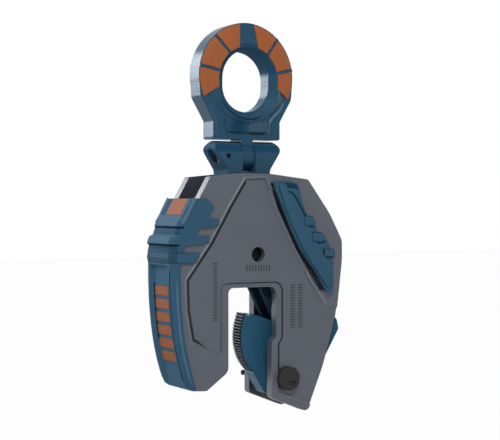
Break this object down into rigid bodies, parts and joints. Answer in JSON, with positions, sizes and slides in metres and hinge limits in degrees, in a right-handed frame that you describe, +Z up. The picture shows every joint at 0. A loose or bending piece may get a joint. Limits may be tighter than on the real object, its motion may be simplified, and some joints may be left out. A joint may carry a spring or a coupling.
{
  "type": "plate lifting clamp",
  "caption": "Vertical plate lifting clamp with a hinged lifting eye, toothed locking cam driven by links, swivelling jaw pad, side plates with edge bumper and a lock lever.",
  "frame": {"origin": "centre of the upper round of the lifting eye's hole, on its axis, midway through the ring", "axes": "+Z up along the lift, +X across the jaw from the fixed pad to the cam, +Y through the plates from the lever's side to the back"},
  "size_m": [0.2331, 0.0839, 0.4412],
  "materials": {
    "blue_metal": "satin",
    "plate_metal": "matte, fine cast grain",
    "blue_plastic": "matte",
    "orange_plastic": "matte",
    "steel": "satin",
    "black_metal": "satin"
  },
  "bodies": {
    "eye": {"lifting_eye": "blue_metal", "eye_inserts_front": "orange_plastic", "eye_inserts_back": "orange_plastic"},
    "coupling": {"coupling_block": "blue_metal", "hinge_pin": "steel", "hinge_roll_pin": "black_metal"},
    "clamp_body": {"front_side_plate": "plate_metal", "back_side_plate": "plate_metal", "jaw_block": "plate_metal", "upper_spacer": "plate_metal", "middle_spacer": "plate_metal", "right_spacer": "plate_metal", "edge_bumper": "blue_plastic", "bumper_bars": "orange_plastic", "bumper_top_insert": "orange_plastic", "jaw_pad_ring": "black_metal", "cam_pin": "black_metal", "cam_washers": "steel", "cam_roll_pin": "black_metal", "lock_spring": "steel"},
    "pad": {"jaw_pad": "steel"},
    "cam": {"jaw_cam": "blue_metal"},
    "links": {"link_front": "blue_metal", "link_back": "blue_metal", "upper_link_pin": "black_metal", "lower_link_pin": "steel", "link_pin_rings": "black_metal"},
    "lever": {"lever_arm": "black_metal", "lever_grip": "blue_plastic", "lever_shaft": "steel", "lock_eccentric": "steel", "lever_back_ring": "black_metal"}
  },
  "joints": [
    {"name": "eye_tilt", "type": "hinge", "parent": "eye", "child": "coupling", "pos_m": [0, 0, -0.0904], "axis": [1, 0, 0], "range_deg": [-60, 60]},
    {"name": "body_slide", "type": "slide", "parent": "coupling", "child": "clamp_body", "axis": [0, 0, -1], "range_m": [-0.0168, 0.01568]},
    {"name": "cam_swing", "type": "hinge", "parent": "clamp_body", "child": "cam", "pos_m": [0.0416, 0, -0.342], "axis": [0, -1, 0], "range_deg": [-30.2, 28.2]},
    {"name": "link_swing", "type": "hinge", "parent": "coupling", "child": "links", "pos_m": [0.005, 0, -0.201], "axis": [0, -1, 0], "range_deg": [-3.2, 3.2]},
    {"name": "lever_swing", "type": "hinge", "parent": "clamp_body", "child": "lever", "pos_m": [0.04, 0, -0.14], "axis": [0, -1, 0], "range_deg": [0, 55]},
    {"name": "pad_spin", "type": "hinge", "parent": "clamp_body", "child": "pad", "pos_m": [-0.034, 0, -0.299], "axis": [1, 0, 0], "continuous": true}
  ],
  "couplings": [
    {"joint": "cam_swing", "follows": "body_slide", "rad_per_m": 31.167},
    {"joint": "link_swing", "follows": "body_slide", "rad_per_m": -3.1}
  ]
}
